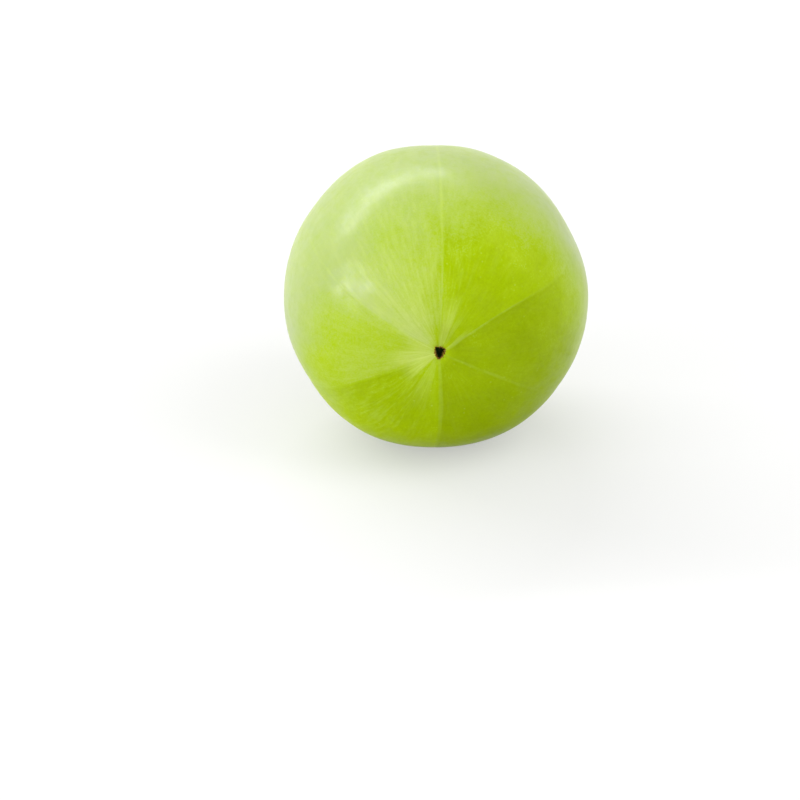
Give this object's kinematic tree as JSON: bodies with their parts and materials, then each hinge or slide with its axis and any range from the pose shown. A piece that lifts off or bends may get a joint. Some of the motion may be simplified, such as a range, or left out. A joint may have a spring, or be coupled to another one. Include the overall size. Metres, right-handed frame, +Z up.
{
  "type": "indian gooseberry",
  "caption": "Whole ripe Indian gooseberry: a slightly flattened yellow-green globe with shallow furrows, a dark stalk scar and a low blossom point.",
  "frame": {"origin": "on the surface the fruit lies on, below the middle of its width and length", "axes": "+Z up; the fruit's own axis lies along Y, with the stem end towards -Y and the blossom end towards +Y; +X to the right as seen from the stem end"},
  "size_m": [0.034, 0.032, 0.0333],
  "materials": {
    "skin": "smooth waxy fruit skin, translucent, soft satin gloss"
  },
  "bodies": {
    "root": {"gooseberry": "skin"}
  },
  "joints": []
}
